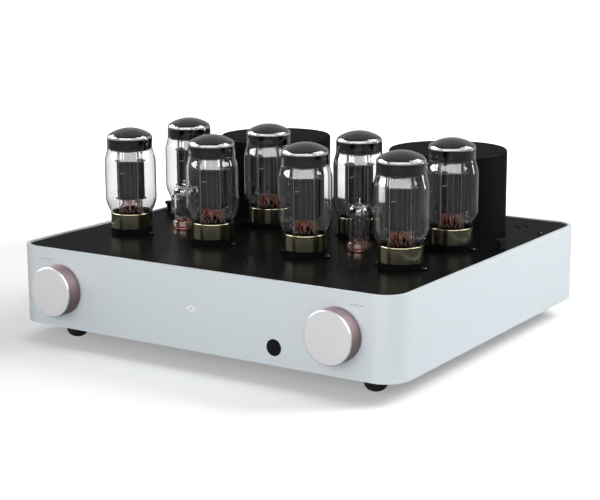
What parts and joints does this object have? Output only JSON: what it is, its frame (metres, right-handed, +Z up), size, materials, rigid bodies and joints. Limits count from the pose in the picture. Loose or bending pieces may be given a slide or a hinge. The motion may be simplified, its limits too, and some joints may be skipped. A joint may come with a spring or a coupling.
{
  "type": "tube amplifier",
  "caption": "Integrated stereo tube amplifier: low silver case with two front knobs, a black deck of plug-in power and signal tubes, and two round transformer cans.",
  "frame": {"origin": "centre of the bounding box on the plane that the feet stand on", "axes": "+X to the right and +Y to the back as seen from the front, +Z up out of the deck"},
  "size_m": [0.44, 0.442, 0.2085],
  "materials": {
    "band": "satin anodised silver with a fine linen grain",
    "deck": "satin black enamel",
    "base_plate": "matt black",
    "rear_plate": "satin black",
    "feet": "moulded black rubber",
    "cans": "satin black powder coat",
    "coils": "varnished copper winding on a steel core",
    "bolts": "zinc plated",
    "socket": "black moulding",
    "collar": "polished, rose coloured",
    "posts": "black",
    "knob_ring": "rose anodised, turned",
    "knob_face": "pale silver, finely turned",
    "shaft": "turned steel",
    "control": "plated steel",
    "window": "gloss black filter",
    "inlet": "black moulding",
    "rocker": "gloss black",
    "jacks": "gold plated",
    "terminals": "gold plated",
    "board": "green laminate",
    "capacitors": "printed sleeve, dark blue",
    "screws": "blackened steel",
    "bulb": "clear blown glass",
    "tube_base": "polished, olive bronze tint",
    "electrodes": "dark carbonised plates",
    "small_bulb": "clear blown glass",
    "small_electrodes": "grey nickel plates"
  },
  "bodies": {
    "chassis": {"case_band": "band", "deck_plate": "deck", "bottom_plate": "base_plate", "rear_panel": "rear_plate", "feet": "feet", "left_transformer_can": "cans", "right_transformer_can": "cans", "toroid_coils": "coils", "transformer_bolts": "bolts", "power_tube_sockets": "socket", "small_tube_sockets": "collar", "cage_posts": "posts", "volume_control": "control", "selector_switch": "control", "remote_window": "window", "power_inlet": "inlet", "input_jacks": "jacks", "speaker_terminals": "terminals", "circuit_board": "board", "filter_capacitors": "capacitors", "case_screws": "screws"},
    "volume_knob": {"volume_knob_ring": "knob_ring", "volume_knob_face": "knob_face", "volume_shaft": "shaft"},
    "selector_knob": {"selector_knob_ring": "knob_ring", "selector_knob_face": "knob_face", "selector_shaft": "shaft"},
    "rocker": {"power_rocker": "rocker"},
    "power_tube_1": {"power_tube_1_glass": "bulb", "power_tube_1_base": "tube_base", "power_tube_1_electrodes": "electrodes"},
    "power_tube_2": {"power_tube_2_glass": "bulb", "power_tube_2_base": "tube_base", "power_tube_2_electrodes": "electrodes"},
    "power_tube_3": {"power_tube_3_glass": "bulb", "power_tube_3_base": "tube_base", "power_tube_3_electrodes": "electrodes"},
    "power_tube_4": {"power_tube_4_glass": "bulb", "power_tube_4_base": "tube_base", "power_tube_4_electrodes": "electrodes"},
    "power_tube_5": {"power_tube_5_glass": "bulb", "power_tube_5_base": "tube_base", "power_tube_5_electrodes": "electrodes"},
    "power_tube_6": {"power_tube_6_glass": "bulb", "power_tube_6_base": "tube_base", "power_tube_6_electrodes": "electrodes"},
    "power_tube_7": {"power_tube_7_glass": "bulb", "power_tube_7_base": "tube_base", "power_tube_7_electrodes": "electrodes"},
    "power_tube_8": {"power_tube_8_glass": "bulb", "power_tube_8_base": "tube_base", "power_tube_8_electrodes": "electrodes"},
    "small_tube_1": {"small_tube_1_glass": "small_bulb", "small_tube_1_electrodes": "small_electrodes"},
    "small_tube_2": {"small_tube_2_glass": "small_bulb", "small_tube_2_electrodes": "small_electrodes"},
    "small_tube_3": {"small_tube_3_glass": "small_bulb", "small_tube_3_electrodes": "small_electrodes"},
    "small_tube_4": {"small_tube_4_glass": "small_bulb", "small_tube_4_electrodes": "small_electrodes"}
  },
  "joints": [
    {"name": "volume_turn", "type": "hinge", "parent": "chassis", "child": "volume_knob", "pos_m": [-0.1605, -0.2035, 0.0595], "axis": [0, -1, 0], "range_deg": [-150, 150]},
    {"name": "selector_turn", "type": "hinge", "parent": "chassis", "child": "selector_knob", "pos_m": [0.1605, -0.2035, 0.0595], "axis": [0, -1, 0], "range_deg": [-60, 60]},
    {"name": "rocker_tip", "type": "hinge", "parent": "chassis", "child": "rocker", "pos_m": [0.075, 0.192, 0.0405], "axis": [1, 0, 0], "range_deg": [-16, 0]},
    {"name": "power_tube_1_lift", "type": "slide", "parent": "chassis", "child": "power_tube_1", "axis": [0, 0, 1], "range_m": [0, 0.06]},
    {"name": "power_tube_2_lift", "type": "slide", "parent": "chassis", "child": "power_tube_2", "axis": [0, 0, 1], "range_m": [0, 0.06]},
    {"name": "power_tube_3_lift", "type": "slide", "parent": "chassis", "child": "power_tube_3", "axis": [0, 0, 1], "range_m": [0, 0.06]},
    {"name": "power_tube_4_lift", "type": "slide", "parent": "chassis", "child": "power_tube_4", "axis": [0, 0, 1], "range_m": [0, 0.06]},
    {"name": "power_tube_5_lift", "type": "slide", "parent": "chassis", "child": "power_tube_5", "axis": [0, 0, 1], "range_m": [0, 0.06]},
    {"name": "power_tube_6_lift", "type": "slide", "parent": "chassis", "child": "power_tube_6", "axis": [0, 0, 1], "range_m": [0, 0.06]},
    {"name": "power_tube_7_lift", "type": "slide", "parent": "chassis", "child": "power_tube_7", "axis": [0, 0, 1], "range_m": [0, 0.06]},
    {"name": "power_tube_8_lift", "type": "slide", "parent": "chassis", "child": "power_tube_8", "axis": [0, 0, 1], "range_m": [0, 0.06]},
    {"name": "small_tube_1_lift", "type": "slide", "parent": "chassis", "child": "small_tube_1", "axis": [0, 0, 1], "range_m": [0, 0.04]},
    {"name": "small_tube_2_lift", "type": "slide", "parent": "chassis", "child": "small_tube_2", "axis": [0, 0, 1], "range_m": [0, 0.04]},
    {"name": "small_tube_3_lift", "type": "slide", "parent": "chassis", "child": "small_tube_3", "axis": [0, 0, 1], "range_m": [0, 0.04]},
    {"name": "small_tube_4_lift", "type": "slide", "parent": "chassis", "child": "small_tube_4", "axis": [0, 0, 1], "range_m": [0, 0.04]}
  ]
}
